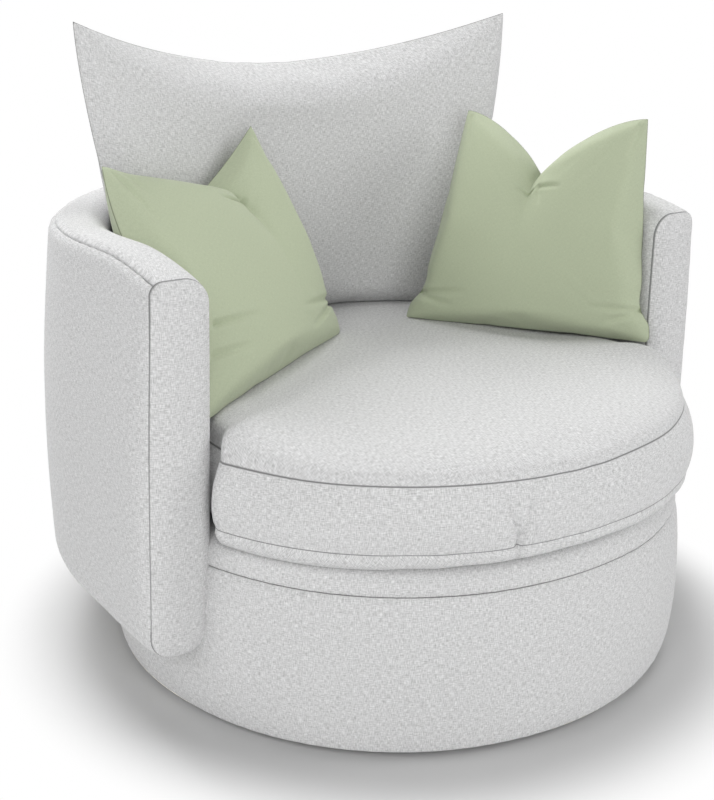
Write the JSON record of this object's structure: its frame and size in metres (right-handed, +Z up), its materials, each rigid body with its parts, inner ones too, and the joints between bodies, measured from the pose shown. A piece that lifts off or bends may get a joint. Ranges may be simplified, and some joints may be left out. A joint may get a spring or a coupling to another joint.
{
  "type": "swivel armchair",
  "caption": "Round upholstered swivel armchair: a drum that turns on a ball race, a U-shaped arm and back shell, a crowned seat cushion, a tall back pillow and loose scatter cushions.",
  "frame": {"origin": "on the floor under the swivel axis, at the middle of the felt's face", "axes": "+Z up along the swivel axis, -Y to the front of the seat, +X to the sitter's left, which is the right side of the chair as seen from its front"},
  "size_m": [1.1042, 1.1356, 1.0183],
  "materials": {
    "felt": "matte",
    "plywood": "matte",
    "softwood": "matte",
    "hardboard": "matte",
    "steel": "satin",
    "nylon": "satin",
    "foam": "matte",
    "black_cloth": "matte",
    "grey_cloth": "matte",
    "green_cloth": "matte"
  },
  "bodies": {
    "floor_base": {"floor_felt": "felt", "plinth_disc": "plywood", "lower_race": "steel", "lower_race_screws": "steel", "king_bolt": "steel", "king_washer": "steel", "king_nut": "steel"},
    "cage": {"swivel_balls": "steel", "ball_cage": "nylon"},
    "chair": {"upper_race": "steel", "upper_race_bolts": "steel", "king_bush": "nylon", "drum_floor_board": "plywood", "hem_ring": "plywood", "drum_posts": "softwood", "side_panels": "plywood", "drum_top_ring": "plywood", "drum_board": "hardboard", "drum_padding": "foam", "drum_cover": "grey_cloth", "dust_cover": "black_cloth", "spring_clips": "steel", "zigzag_springs": "steel", "deck_cloth": "black_cloth", "deck_pad": "foam", "border_roll": "foam", "border_cover": "grey_cloth", "shell_sole": "plywood", "shell_ribs": "plywood", "shell_top_rail": "plywood", "arm_front_boards": "plywood", "shell_inner_board": "hardboard", "shell_outer_board": "hardboard", "shell_inner_padding": "foam", "shell_outer_padding": "foam", "shell_inner_cover": "grey_cloth", "shell_outer_cover": "grey_cloth", "arm_facing_left": "grey_cloth", "arm_facing_right": "grey_cloth", "fixing_blocks": "softwood", "shell_bolts": "steel"},
    "seat_cushion": {"seat_cushion": "grey_cloth"},
    "back_pillow": {"back_pillow": "grey_cloth"},
    "scatter_left": {"scatter_left": "green_cloth"},
    "scatter_right": {"scatter_right": "green_cloth"}
  },
  "joints": [
    {"name": "swivel", "type": "hinge", "parent": "floor_base", "child": "chair", "pos_m": [0, 0, 0], "axis": [0, 0, 1], "continuous": true},
    {"name": "cage_turn", "type": "hinge", "parent": "floor_base", "child": "cage", "pos_m": [0, 0, 0], "axis": [0, 0, 1], "continuous": true},
    {"name": "seat_cushion_lift", "type": "slide", "parent": "chair", "child": "seat_cushion", "axis": [0, 0, 1], "range_m": [0, 0.3]},
    {"name": "back_pillow_lift", "type": "slide", "parent": "seat_cushion", "child": "back_pillow", "axis": [0, 0, 1], "range_m": [0, 0.3]},
    {"name": "scatter_left_lift", "type": "slide", "parent": "back_pillow", "child": "scatter_left", "axis": [0.0999, -0.5496, 0.8294], "range_m": [0, 0.3]},
    {"name": "scatter_right_lift", "type": "slide", "parent": "back_pillow", "child": "scatter_right", "axis": [-0.2501, -0.4501, 0.8572], "range_m": [0, 0.3]}
  ],
  "couplings": [
    {"joint": "cage_turn", "follows": "swivel", "ratio": 0.5}
  ]
}
